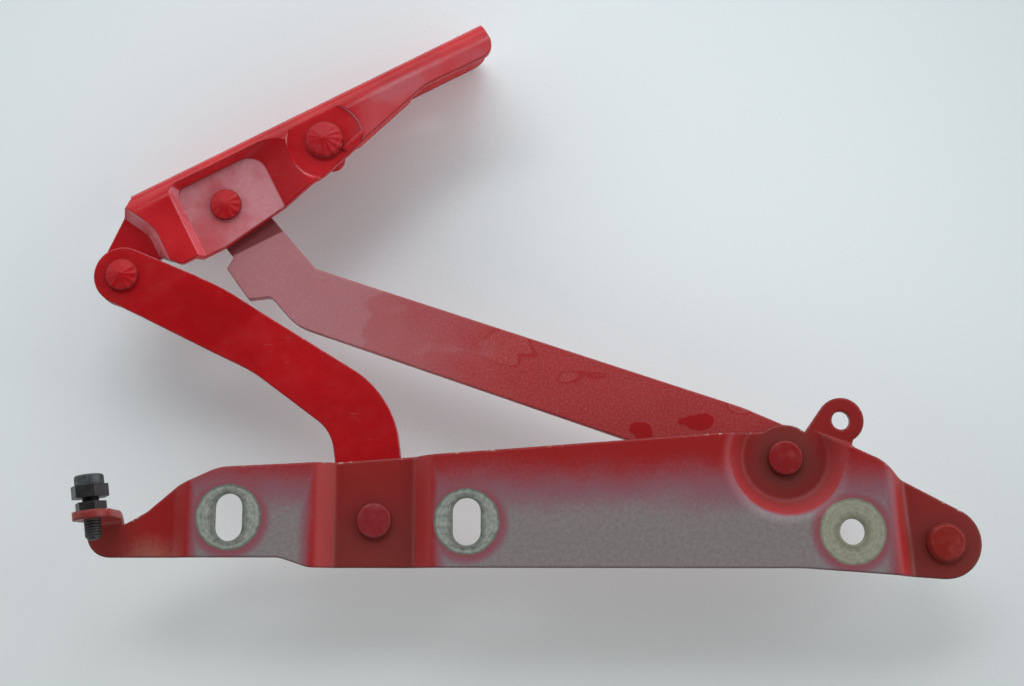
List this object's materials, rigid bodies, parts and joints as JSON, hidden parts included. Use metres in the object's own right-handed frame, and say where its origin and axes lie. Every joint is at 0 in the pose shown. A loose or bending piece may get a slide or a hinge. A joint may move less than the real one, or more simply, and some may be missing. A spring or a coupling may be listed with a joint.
{
  "type": "tailgate hinge",
  "caption": "Four-bar boot-lid hinge: pressed base plate, curved and long pivot arms, flanged lid bracket, riveted pivots, strut ball studs and an adjustable rubber stop.",
  "frame": {"origin": "centre of the round bolt hole, on the face of the base plate that is bolted against the body", "axes": "+X along the base plate from the stop screw to the nose, +Y from the plate towards the lid bracket, +Z out of the bolted face"},
  "size_m": [0.3361, 0.2189, 0.064],
  "materials": {
    "red_paint": "gloss",
    "grey_coated_steel": "satin",
    "bronze": "satin",
    "black_rubber": "matte",
    "black_steel": "satin"
  },
  "bodies": {
    "base": {"base_plate": "grey_coated_steel", "curved_arm_base_rivet": "red_paint", "curved_arm_base_washer": "red_paint", "long_arm_base_rivet": "red_paint", "long_arm_base_washer": "red_paint", "base_strut_stud": "red_paint", "stop_screw": "black_steel", "stop_lock_nut": "black_steel", "stop_buffer": "black_rubber"},
    "curved_arm_body": {"curved_arm": "red_paint", "curved_arm_base_bush": "bronze", "curved_arm_lid_bush": "bronze"},
    "long_arm_body": {"long_arm": "red_paint", "long_arm_base_bush": "bronze", "long_arm_lid_bush": "bronze", "long_arm_lid_rivet_tail": "red_paint", "long_arm_lid_washer": "red_paint"},
    "lid_bracket_body": {"lid_bracket": "red_paint", "curved_arm_lid_rivet": "red_paint", "long_arm_lid_rivet": "red_paint", "lid_strut_stud": "red_paint"}
  },
  "joints": [
    {"name": "curved_arm_pivot", "type": "hinge", "parent": "base", "child": "curved_arm_body", "pos_m": [-0.1774, 0.0044, -0.0122], "axis": [0, 0, -1], "range_deg": [-1, 37]},
    {"name": "long_arm_pivot", "type": "hinge", "parent": "base", "child": "long_arm_body", "pos_m": [-0.0229, 0.0278, -0.0137], "axis": [0, 0, -1], "range_deg": [-0.51, 18.8]},
    {"name": "lid_pivot", "type": "hinge", "parent": "curved_arm_body", "child": "lid_bracket_body", "pos_m": [-0.27522, 0.09788, -0.0042], "axis": [0, 0, 1], "range_deg": [-2.24, 82.63]}
  ],
  "couplings": [
    {"joint": "long_arm_pivot", "follows": "curved_arm_pivot", "ratio": 0.508},
    {"joint": "lid_pivot", "follows": "curved_arm_pivot", "ratio": 2.233}
  ]
}
